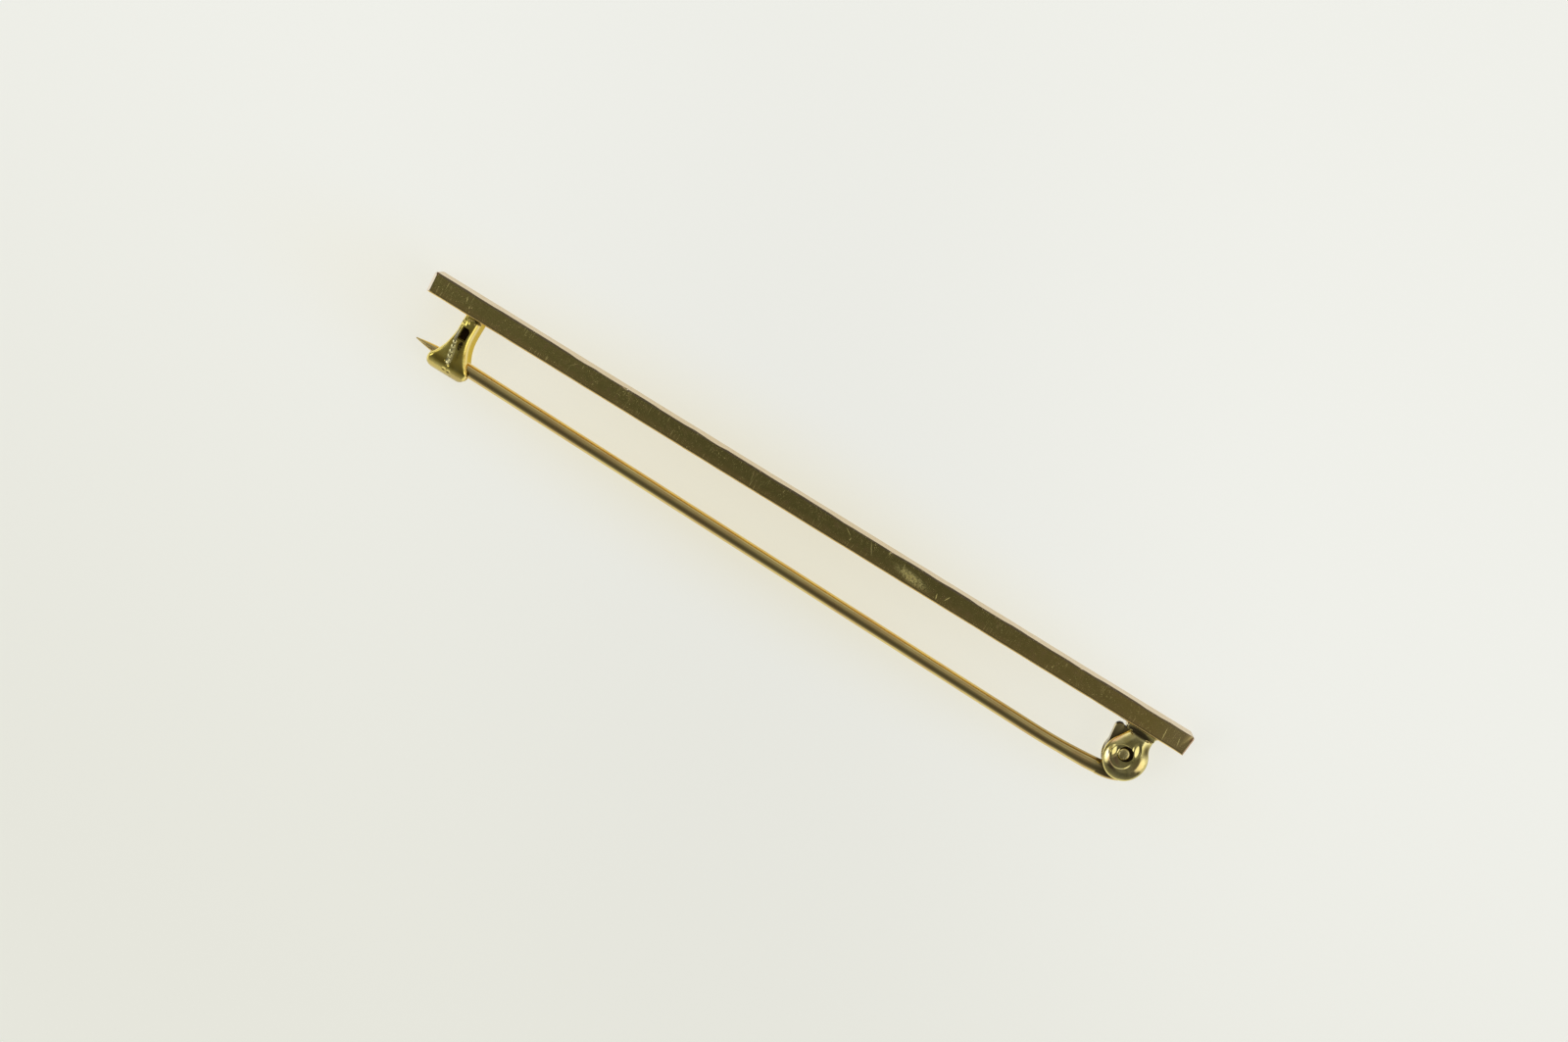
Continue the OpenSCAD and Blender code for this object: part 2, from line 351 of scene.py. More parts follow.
def make_catch():
    """The hook catch: a wall that flares from the neck and curls under the stem, on a sloped foot."""
    half = HOOK_W / 2
    touch = foot_line()[1]
    stops = [-0.2, -0.5, -0.8, -FOOT_L, -1.4, -1.7, -2.0, -2.2, touch, -2.55, -2.7, -2.84]
    top = FINDING_W - SHEET_T
    hook = block("hook_catch", (CATCH_X - half, CURL_Y, top), (CATCH_X + half, SINK, FINDING_W))
    edit(hook)
    for y in stops:
        slice_at(m(0, y, 0), (0, 1, 0))
    # Foot: the underside of each row goes down to the slope
    for y in [SINK] + stops:
        pick(hook, "VERT", lambda v, p: abs(p.y - y) < 0.001 and p.z < top + CLOSE)
        shift(0, 0, catch_low(y) - top)
    # Curl and lip
    pick(hook, "FACE", lambda f, p: f.normal.y < -0.99 and p.y < CURL_Y + CLOSE)
    bpy.ops.mesh.spin(steps=18, angle=-math.pi, center=m(CATCH_X, CURL_Y, MID_Z), axis=(1, 0, 0))
    pick(hook, "FACE", lambda f, p: p.z < SHEET_T and abs(f.normal.y) > 0.9 and p.y > CURL_Y - 0.02)
    bpy.ops.mesh.extrude_region_move(TRANSFORM_OT_translate={"value": (0, LIP_L * MM, 0)})
    leave()
    tidy_mesh(hook)
    # Taper of each row to the plan
    edit(hook)
    points = [v.co / MM for v in bmesh.from_edit_mesh(hook.data).verts]
    rows = sorted({(round(c.y - BACK_Y, 3), round(c.z, 3)) for c in points})
    for y, z in rows:
        def in_row(p):
            return abs(p.y - y) < ROW_CLOSE and abs(p.z - z) < ROW_CLOSE

        pick(hook, "VERT", lambda v, p: in_row(p))
        bpy.ops.transform.resize(value=(catch_half(y, z) / half, 1, 1), center_override=m(CATCH_X, y, z))
        # The left side bulges a little more than the right
        pick(hook, "VERT", lambda v, p: in_row(p) and p.x < CATCH_X)
        shift(-LEFT_BULGE * min(max((y - BULGE_Y) / BULGE_RUN, 0.0), 1.0), 0)
    # Outer edges, rounder on the left
    for side, width in ((-1, 0.25), (1, 0.22)):
        pick(hook, "EDGE", lambda e, p: (
            side * (p.x - CATCH_X) > 0.9 * catch_half(p.y, p.z) and abs(direction(e).x) < 0.9 and outer(p)))
        bevel(width, 6, clamp_overlap=False)
    leave()
    tidy_mesh(hook)
    left, right, low, high, deep = POCKET
    pocket = block("pocket", (CATCH_X + left, low, FINDING_W - deep),
                   (CATCH_X + right, high, FINDING_W + 0.3))
    edit(pocket)
    pick(pocket, "EDGE", lambda e, p: runs(e, Z) and p.x > CATCH_X and p.y > -1)
    bevel(0.17, 1)
    leave()
    cut(hook, pocket)
    for x, y, deep in PUNCHES:
        punch = primitive("uv_sphere", "punch", segments=20, ring_count=12, radius=PUNCH_R * MM,
                          location=m(x, y, FINDING_W + PUNCH_R - deep))
        cut(hook, punch)
    return smooth(hook)


def ear_lines():
    """Where the ear's left side touches its round part, and the centre of the hollow curve on its right."""
    top = -RIVET_Y
    run = (NECK_LEFT - EAR_SHIFT[0], top - EAR_SHIFT[1])
    turn = math.atan2(run[1], run[0]) + math.acos(EAR_R / math.hypot(*run))
    touch = (EAR_SHIFT[0] + EAR_R * math.cos(turn), EAR_SHIFT[1] + EAR_R * math.sin(turn))
    side = NECK_RIGHT + NECK_FILLET_R - EAR_SHIFT[0]
    hollow = (NECK_RIGHT + NECK_FILLET_R, EAR_SHIFT[1] + math.sqrt((EAR_R + NECK_FILLET_R) ** 2 - side ** 2))
    return touch, hollow


def make_ear(near):
    """An ear: a round cheek on a neck, with a wide rounded rim, a dish and a sunk mouth round the rivet."""
    side = 1 if near else -1
    name = "ear_near" if near else "ear_far"
    face = FINDING_W if near else 0.0
    inner = face - side * EAR_T
    body = EAR_T - EAR_DOME[-1][1]
    low, high = sorted((inner, inner + side * body))
    mid = (low + high) / 2
    cx, cy = HINGE_X + EAR_SHIFT[0], RIVET_Y + EAR_SHIFT[1]
    touch, hollow = ear_lines()
    touch = (HINGE_X + touch[0], RIVET_Y + touch[1])
    hollow = (HINGE_X + hollow[0], RIVET_Y + hollow[1])
    ear = rod(name, (cx, cy, mid), EAR_R, body, 96)
    # The cheek is a little longer downwards than it is wide
    edit(ear)
    pick(ear, "VERT", lambda v, p: p.y < cy - 0.001)
    bpy.ops.transform.resize(value=(1, EAR_STRETCH, 1), center_override=m(cx, cy, mid))
    leave()
    # The neck's corners go to where the ear's left side and its hollow right side begin and end
    neck = block("neck", (cx - 1, cy, low), (cx + 1, NECK_END, high))
    edit(neck)
    ray = cx + (hollow[0] - cx) * (NECK_END - cy) / (hollow[1] - cy)
    for x, y, goal in ((cx - 1, cy, touch),
                       (cx + 1, cy, (cx, cy)),
                       (cx - 1, NECK_END, (HINGE_X + NECK_LEFT, NECK_END)),
                       (cx + 1, NECK_END, (ray, NECK_END))):
        pick(neck, "VERT", lambda v, p: math.hypot(p.x - x, p.y - y) < CLOSE)
        shift(goal[0] - x, goal[1] - y)
    leave()
    cut(ear, neck, "UNION")
    hollow_tool = rod("hollow", (hollow[0], hollow[1], mid), NECK_FILLET_R, 2, 96)
    edit(hollow_tool)
    pick(hollow_tool, "VERT", lambda v, p: p.y > hollow[1] + 0.001)
    shift(0, 2)
    leave()
    cut(ear, hollow_tool)
    edit(ear)
    weld(0.004)
    bpy.ops.mesh.dissolve_limited(angle_limit=math.radians(1))
    pick(ear, "FACE", lambda f, p: f.normal.z * side > 0.99 and abs(p.z - inner - side * body) < CLOSE)
    # Rounded rim and low dome, by insets that rise less and less
    for (a, low_a), (b, low_b) in zip(EAR_DOME, EAR_DOME[1:]):
        bpy.ops.mesh.inset(thickness=(b - a) * MM, depth=0, use_boundary=True, use_even_offset=True)
        shift(0, 0, side * (low_b - low_a))
    leave()
    cut(ear, funnel("dish", DISH, face, side))
    cut(ear, funnel("mouth", MOUTH, face, side))
    cut(ear, rod("hole", (HINGE_X, RIVET_Y, mid), RIVET_R + 0.01, 3))
    return ear


def funnel(name, shape, face, side):
    """A cutting tool that goes into a face at z: round, and narrower at the bottom."""
    (dx, dy), wide, narrow, depth = shape
    over = 0.1
    slope = (wide - narrow) / depth
    low, high = sorted((face - side * depth, face + side * over))
    top = wide + slope * over
    radii = (narrow, top) if side > 0 else (top, narrow)
    return primitive("cone", name, vertices=64, radius1=radii[0] * MM, radius2=radii[1] * MM,
                     depth=(high - low) * MM, location=m(HINGE_X + dx, RIVET_Y + dy, (low + high) / 2))


def make_bracket():
    """Base plate and two ears."""
    bracket = block("hinge_bracket", (HINGE_X + PLATE_LEFT, -PLATE_T, 0),
                    (HINGE_X + PLATE_RIGHT, SINK, FINDING_W - 0.05))
    soften(bracket, 0.06, 3)
    for near in (True, False):
        cut(bracket, make_ear(near), "UNION")
    edit(bracket)
    weld(0.002)
    bpy.ops.mesh.fill_holes(sides=12)
    # Walls left inside by the unions
    bpy.ops.mesh.select_mode(type="FACE")
    bpy.ops.mesh.select_all(action="DESELECT")
    bpy.ops.mesh.select_interior_faces()
    bpy.ops.mesh.delete(type="FACE")
    leave()
    return smooth(bracket, 21)


# Beads of solder on the near side: x, y, z and radius
BEADS = ((25.62, -0.43, 2.12, 0.10), (25.45, -0.50, 2.11, 0.08), (25.82, -0.37, 2.10, 0.08),
         (25.27, -0.49, 2.12, 0.06), (24.44, -0.46, 2.12, 0.07), (24.33, -0.32, 2.13, 0.06),
         (24.58, -0.53, 2.12, 0.05), (-24.66, -0.16, 2.18, 0.09), (-24.24, -0.26, 2.17, 0.08),
         (-24.44, -0.1, 2.17, 0.07), (-24.0, -0.12, 2.0, 0.09))
# Fillets: x, side of the foot, radius and upper end; the lower end is the same for all
FILLETS = ((HINGE_X + PLATE_RIGHT, 1, 0.34, 2.12), (HINGE_X + PLATE_LEFT, -1, 0.2, 2.1),
           (CATCH_X + 0.47, 1, 0.2, 1.9), (CATCH_X - 0.45, -1, 0.2, 2.0))
FILLET_LOW = 0.03


def make_solder():
    """Hollow fillets of solder beside the hinge's base plate and the catch, with small beads."""
    parts = []
    for x, side, r, top in FILLETS:
        low, high = sorted((x - side * 0.15, x + side * r))
        fillet = block("solder", (low, -r, FILLET_LOW), (high, SINK, top))
        cut(fillet, rod("round", (x + side * (r + 0.005), -r - 0.005, MID_Z), r, 4))
        # The ends run out thin
        edit(fillet)
        for z in (0.3, top - 0.27):
            slice_at(m(0, 0, z), (0, 0, 1))
        for z in (FILLET_LOW, top):
            pick(fillet, "VERT", lambda v, p: abs(p.z - z) < CLOSE)
            bpy.ops.transform.resize(value=(0.35, 0.35, 1), center_override=m(x, SINK, z))
        leave()
        parts.append(fillet)
    for x, y, z, r in BEADS:
        parts.append(primitive("ico_sphere", "bead", subdivisions=3, radius=MM, location=m(x, y, z),
                               scale=(r * 1.4, r * 0.8, r * 0.6)))
    deselect()
    for part in parts:
        part.select_set(True)
    bpy.context.view_layer.objects.active = parts[0]
    bpy.ops.object.join()
    return smooth(settle(parts[0]), 50)


def make_rivet():
    """The rivet, with a low dome at each end."""
    rivet = rod("rivet", (HINGE_X, RIVET_Y, MID_Z), RIVET_R, 2 * (MID_Z - 0.05))
    edit(rivet)
    pick(rivet, "FACE", lambda f, p: f.normal.z > 0.9)
    bpy.ops.transform.rotate(value=math.radians(-4), orient_axis="Y",
                             center_override=m(HINGE_X, RIVET_Y, 2 * MID_Z - 0.05))
    leave()
    soften(rivet, 0.17, 6)
    return smooth(rivet)


def make_eye():
    """The flat eye, with its stop lobe and the root that runs into the stem."""
    low, high = MID_Z - EYE_T / 2, MID_Z + EYE_T / 2
    eye = rod("eye", (HINGE_X, RIVET_Y, MID_Z), EYE_R, EYE_T, 96)
    lobe = block("lobe", (HINGE_X - LOBE_LEFT, RIVET_Y + 0.1, low),
                 (HINGE_X - LOBE_RIGHT, RIVET_Y + LOBE_TOP, high))
    edit(lobe)
    pick(lobe, "VERT", lambda v, p: p.y < RIVET_Y + 0.2 and p.x < HINGE_X - 1.3)
    shift(0.2, 0.1)
    pick(lobe, "EDGE", lambda e, p: runs(e, Z) and p.x < HINGE_X - 1.3 and p.y > RIVET_Y + 1)
    bevel(0.42, 9)
    pick(lobe, "EDGE", lambda e, p: (
        runs(e, Z) and p.x > HINGE_X - LOBE_RIGHT - CLOSE and p.y > RIVET_Y + 1))
    bevel(0.16, 5)
    leave()
    cut(eye, lobe, "UNION")
    stop = block("stop", (HINGE_X - 0.9, RIVET_Y, low), (HINGE_X - 0.3, -PLATE_T - STOP_GAP, high))
    cut(eye, stop, "UNION")
    # Root: its underside follows a large circle and is as round as the wire
    left, right = ROOT[0] + 0.1, HINGE_X + 0.65
    root = block("root", (left, ROOT[1] - 0.9, MID_Z - ROOT_HALF), (right, RIVET_Y - 0.5, MID_Z + ROOT_HALF))
    cut(root, rod("arc", (*ROOT_CURVE, MID_Z), ROOT_CURVE_R, 3, 192), "INTERSECT")
    edit(root)
    pick(root, "EDGE", lambda e, p: (
        abs(direction(e).z) < 0.1 and abs(p.z - MID_Z) > ROOT_HALF - CLOSE
        and left + CLOSE < p.x < right - CLOSE and p.y < -3))
    bevel(0.34, 6)
    leave()
    cut(eye, root, "UNION")
    edit(eye)
    weld(0.004)
    bpy.ops.mesh.dissolve_limited(angle_limit=math.radians(0.5))
    leave()
    soften(eye, 0.05, 2, 60)
    return eye


def make_pin():
    """The stem with its point, drawn out of round wire, and the flat eye forged at its end."""
    slope = math.atan2(STEM_Y_CATCH - STEM_Y_BEND, BEND_X - CATCH_X)
    run = (BEND_X - CATCH_X) / math.cos(slope) + TIP_L
    along = Vector((-math.cos(slope), math.sin(slope), 0))
    start = m(BEND_X, STEM_Y_BEND, MID_Z)
    pin = primitive("circle", "pin_wire", vertices=48, radius=STEM_R * MM, fill_type="NOTHING",
                    location=start, rotation=(0, math.pi / 2, -slope))
    edit(pin)
    bpy.ops.mesh.select_all(action="SELECT")
    straight = run - POINT[0][0]
    steps = 24
    for _ in range(steps):
        bpy.ops.mesh.extrude_region_move(TRANSFORM_OT_translate={"value": along * (straight / steps * MM)})
    here, size = straight, 1.0
    for left, share in POINT[1:]:
        there = run - left
        bpy.ops.mesh.extrude_region_move(TRANSFORM_OT_translate={"value": along * ((there - here) * MM)})
        bpy.ops.transform.resize(value=(share / size,) * 3, center_override=start + along * (there * MM))
        here, size = there, share
    bpy.ops.mesh.edge_face_add()
    # Bend up to the eye
    pick(pin, "VERT", lambda v, p: abs((v.co - start).dot(along)) < 0.001 * MM)
    centre = start + Vector((math.sin(slope), math.cos(slope), 0)) * (BEND_R * MM)
    bpy.ops.mesh.select_mode(type="EDGE")
    bpy.ops.mesh.spin(steps=14, angle=-(slope + BEND_END), center=centre, axis=(0, 0, 1))
    # Flattened a little wider towards the eye
    softly = {"use_proportional_edit": True, "proportional_edit_falloff": "SMOOTH",
              "proportional_size": ROOT_REACH * MM}
    bpy.ops.transform.resize(value=(ROOT_WIDER, ROOT_WIDER, 1), center_override=m(*ROOT, MID_Z), **softly)
    shift(0, -ROOT_DROP, **softly)
    centre = m(*ROOT, MID_Z) + Vector((-math.sin(BEND_END), math.cos(BEND_END), 0)) * (ROOT_BEND_R * MM)
    bpy.ops.mesh.spin(steps=12, angle=-ROOT_BEND, center=centre, axis=(0, 0, 1))
    bpy.ops.mesh.edge_face_add()
    leave()
    tidy_mesh(pin)
    cut(pin, make_eye(), "UNION")
    cut(pin, rod("bore", (HINGE_X, RIVET_Y, MID_Z), EYE_BORE_R, 3))
    edit(pin)
    weld(0.001)
    bpy.ops.mesh.fill_holes(sides=12)
    leave()
    return smooth(pin)


# Materials

class Nodes:
    """Short ways to build a material's nodes; places are in the drawing's millimetres."""

    def __init__(self, name):
        self.mat = bpy.data.materials.new(name)
        self.mat.use_nodes = True
        self.tree = self.mat.node_tree
        self.bsdf = self.tree.nodes["Principled BSDF"]
        coord = self.add("ShaderNodeTexCoord").outputs["Object"]
        self.place = self.vector("MULTIPLY_ADD", coord, (1000, 1000, 1000), (0, -BACK_Y, 0))
        self.xyz = self.add("ShaderNodeSeparateXYZ", self.place).outputs
        normal = self.add("ShaderNodeNewGeometry").outputs["Normal"]
        self.facing = self.add("ShaderNodeSeparateXYZ", normal).outputs

    def add(self, kind, *inputs, **settings):
        node = self.tree.nodes.new(kind)
        for key, value in settings.items():
            setattr(node, key, value)
        for socket, value in zip(node.inputs, inputs):
            self.put(socket, value)
        return node

    def put(self, socket, value):
        if isinstance(value, bpy.types.NodeSocket):
            self.tree.links.new(value, socket)
        elif value is not None:
            socket.default_value = value

    def vector(self, operation, *inputs):
        node = self.add("ShaderNodeVectorMath", *inputs, operation=operation)
        return node.outputs["Value" if operation in ("LENGTH", "DOT_PRODUCT") else "Vector"]

    def chain(self, operation, values):
        result = values[0]
        for value in values[1:]:
            result = self.add("ShaderNodeMath", result, value, operation=operation).outputs[0]
        return result

    def times(self, *values):
        return self.chain("MULTIPLY", values)

    def plus(self, *values):
        return self.chain("ADD", values)

    def most(self, *values):
        return self.chain("MAXIMUM", values)

    def ease(self, value, start, end, low=0.0, high=1.0):
        """From low to high while value goes from start to end, softly."""
        return self.add("ShaderNodeMapRange", value, start, end, low, high,
                        interpolation_type="SMOOTHSTEP").outputs[0]

    def noise(self, size, stretch=(1, 1, 1), detail=2.0, seed=0.0):
        """Soft noise between 0 and 1, with grains of about that size."""
        scale = tuple(1 / (size * k) for k in stretch)
        place = self.vector("MULTIPLY_ADD", self.place, scale, (seed, seed, seed))
        node = self.add("ShaderNodeTexNoise", place)
        node.inputs["Scale"].default_value = 1.0
        node.inputs["Detail"].default_value = detail
        return node.outputs["Fac"]

    def spot(self, centre, half, turn=0.0, soft=0.6, square=False):
        """1 in an ellipse or box of those half sizes, 0 outside it, with a soft edge."""
        node = self.add("ShaderNodeMapping", self.place, vector_type="TEXTURE")
        node.inputs["Location"].default_value = centre
        node.inputs["Rotation"].default_value = (0, 0, math.radians(turn))
        node.inputs["Scale"].default_value = half
        if square:
            parts = self.add("ShaderNodeSeparateXYZ", self.vector("ABSOLUTE", node.outputs[0])).outputs
            away = self.most(*parts)
        else:
            away = self.vector("LENGTH", node.outputs[0])
        return self.ease(away, 1.0, 1.0 - soft)

    def slope(self, centre, half, turn, rise):
        """Height of a place where the surface leans: rise along x and y, fading out at the spot's edge."""
        away = self.vector("SUBTRACT", self.place, centre)
        plane = self.vector("DOT_PRODUCT", away, (*rise, 0.0))
        return self.times(self.spot(centre, half, turn, soft=0.7), plane)

    def slopes(self, rows, reach):
        """Leaning places on the findings' near face, which reach that far into the depth."""
        return [self.slope((*centre, FINDING_W), (*half, reach), turn, rise)
                for centre, half, turn, rise in rows]

    def blend(self, share, a, b):
        """A colour between a and b."""
        node = self.add("ShaderNodeMix", data_type="RGBA")
        self.put(node.inputs["Factor"], share)
        for key, value in (("A", a), ("B", b)):
            socket = next(i for i in node.inputs if i.name == key and i.type == "RGBA")
            self.put(socket, value if isinstance(value, bpy.types.NodeSocket) else (*value, 1))
        return next(o for o in node.outputs if o.type == "RGBA")

    def layers(self, colour, coats):
        """Coats of colour over a first one, each with its share of the surface."""
        for share, tint in coats:
            colour = self.blend(share, colour, tint)
        return colour

    def finish(self, colour, roughness, height, strength=0.1, edge=None):
        """Polished metal of that colour and roughness; height in millimetres raises the surface."""
        self.put(self.bsdf.inputs["Specular Tint"], edge)
        self.put(self.bsdf.inputs["Base Color"], colour)
        self.put(self.bsdf.inputs["Roughness"], roughness)
        self.bsdf.inputs["Metallic"].default_value = 1.0
        bump = self.add("ShaderNodeBump")
        bump.inputs["Strength"].default_value = strength
        bump.inputs["Distance"].default_value = MM
        self.put(bump.inputs["Height"], height)
        self.put(self.bsdf.inputs["Normal"], bump.outputs["Normal"])
        return self.mat


WHITE = (1, 1, 1)

# Scratches on the bar's near face: middle x and y, half length, turn in degrees, half width, strength
BAR_SCRATCHES = (
    (-25.48, 0.87, 0.24, -75, 0.045, 0.9), (-17.65, 0.86, 0.45, 46, 0.035, 0.35),
    (-4.35, 0.73, 0.55, -79, 0.035, 0.4), (-2.18, 1.01, 0.14, -92, 0.045, 0.45),
    (4.40, 0.84, 0.62, -59, 0.038, 0.65), (5.55, 1.20, 0.14, -75, 0.06, 0.9),
    (9.46, 0.42, 0.25, -75, 0.045, 1.0), (10.12, 0.64, 0.32, -118, 0.045, 0.9),
    (26.23, 0.55, 0.62, -85, 0.042, 0.9), (27.23, 0.62, 0.44, -80, 0.042, 0.75),
    (2.62, 1.0, 0.40, -33, 0.03, 0.7), (2.95, 0.66, 0.15, -95, 0.045, 0.7),
    (-25.1, 0.50, 0.12, -80, 0.05, 0.8), (6.75, 0.98, 0.26, -70, 0.045, 0.6),
)
OLIVE, BRIGHT_OLIVE, DARK_OLIVE = (0.62, 0.51, 0.15), (0.77, 0.635, 0.19), (0.39, 0.32, 0.095)
BROWN, BACK_EDGE, STAIN = (0.94, 0.66, 0.19), (0.90, 0.61, 0.21), (0.66, 0.42, 0.19)
FRONT_EDGE_REFLECTION, BAR_BACK, BAR_FRONT = (0.58, 0.44, 0.34), (1.0, 0.74, 0.30), (0.82, 0.68, 0.50)
WARM_END, RUDDY, SCRATCH = (1.0, 0.76, 0.34), (0.75, 0.36, 0.18), (1.0, 0.88, 0.36)
LEFT_END_HIGHLIGHT, RIGHT_END, FRONT_RIM = (0.95, 0.84, 0.72), (0.62, 0.42, 0.28), (0.88, 0.81, 0.68)


def bar_gold():
    """Old polished gold: olive in the dark reflections, browner to the right, with fine wear all over."""
    n = Nodes("bar_gold")
    x, y, _ = n.xyz
    near = n.ease(n.facing[Z], 0.9, 0.99)
    front = n.ease(n.facing[Y], 0.5, 0.9)
    fine = n.noise(0.06, (1, 1.7, 1), detail=1.0)
    mid = n.noise(0.4, detail=2.0, seed=7.0)
    broad = n.noise(3.0, (2.0, 1, 1), detail=1.0, seed=3.0)
    dark = n.times(n.ease(x, -25, -4), n.ease(x, 27, 22))
    brown = n.times(n.ease(x, 6.0, 26.0), n.ease(broad, 0.2, 0.65, 0.6, 1.0))
    corners = n.most(n.spot((-27.93, 1.3, 2.2), (0.16, 0.2, 0.5)),
                     n.spot((27.88, 1.1, 2.2), (0.2, 0.26, 0.5)))
    scratches = [n.times(n.spot((cx, cy, BAR_W), (long, wide, 0.2), turn), strength)
                 for cx, cy, long, turn, wide, strength in BAR_SCRATCHES]
    smudge = n.times(n.spot((7.5, 0.6, BAR_W), (1.7, 0.46, 0.2), -7, soft=0.8),
                     n.ease(n.noise(0.09, detail=3.0, seed=15.0), 0.4, 0.58, 0.25, 1.0))
    specks = n.times(n.ease(n.noise(0.045, (1, 1.8, 1), detail=0.0, seed=11.0), 0.64, 0.92),
                     n.ease(n.noise(0.9, detail=1.0, seed=21.0), 0.35, 0.65, 0.3, 1.0))
    hairs = n.times(n.ease(n.noise(0.05, (1, 14, 1), detail=0.0, seed=31.0), 0.66, 0.78),
                    n.ease(n.noise(1.3, detail=1.0, seed=41.0), 0.45, 0.65, 0.0, 0.5))
    worn = n.times(n.most(*scratches, smudge, specks, hairs), near)
    colour = n.layers(n.blend(n.ease(fine, 0.3, 0.7), OLIVE, BRIGHT_OLIVE), (
        (n.times(dark, 0.5), DARK_OLIVE),
        (n.times(brown, 0.65), BROWN),
        (n.times(n.ease(y, 0.65, 0.15), 0.5), BACK_EDGE),
        (n.times(n.ease(mid, 0.5, 0.75), 0.4), STAIN),
        # Painted reflection: a pinkish line along the near face's front edge
        (n.times(near, n.ease(y, 1.18, 1.34), 0.7), FRONT_EDGE_REFLECTION),
        (n.ease(n.facing[Y], -0.2, -0.6), BAR_BACK),
        (front, BAR_FRONT),
        (n.times(n.ease(x, 25.0, 27.4), near, 0.5), WARM_END),
        (n.times(corners, 0.8), RUDDY),
        # Painted highlight: faces turned to the left, as at the bar's left end, are paler
        (n.ease(n.facing[X], -0.15, -0.5), LEFT_END_HIGHLIGHT),
        (n.ease(n.facing[X], 0.15, 0.5), RIGHT_END),
        (n.times(worn, 0.9), SCRATCH),
    ))
    rough = n.plus(n.ease(mid, 0.3, 0.7, 0.14, 0.22), n.times(worn, 0.5))
    height = n.plus(n.times(fine, 0.004), n.times(broad, 0.02))
    return n.finish(colour, rough, height, 0.25, n.blend(front, WHITE, FRONT_RIM))


# Places where a near face leans a little: middle x and y, half sizes, turn, rise along x and y
CATCH_SLOPES = (((-24.83, -0.43), (0.30, 0.28), 0, (0.40, 0.23)),
                ((-24.59, -3.12), (0.22, 0.24), 0, (0.38, 0.10)))
BRACKET_SLOPES = (((24.14, -2.02), (0.34, 0.5), 0, (-0.5, 0.0)),
                  ((25.38, -1.32), (0.62, 0.32), -70, (-0.42, -0.14)))

YELLOW, PALE_YELLOW, CATCH_DARK_AND_SHADE = (0.93, 0.70, 0.12), (0.98, 0.82, 0.20), (0.045, 0.028, 0.012)
FLANK_SHADE, FLANK_SHADE_RIM, EDGE_HIGHLIGHT = (0.66, 0.52, 0.14), (0.74, 0.62, 0.26), (0.95, 0.80, 0.40)
UNDER_SHADE_LEFT, UNDER_SHADE_RIGHT, BAND = (0.60, 0.47, 0.14), (0.47, 0.36, 0.13), (1.0, 0.88, 0.40)
RING_HIGHLIGHT, HOLE_SHADE, PALE = (1.0, 0.93, 0.50), (0.42, 0.33, 0.10), (1.0, 0.94, 0.74)


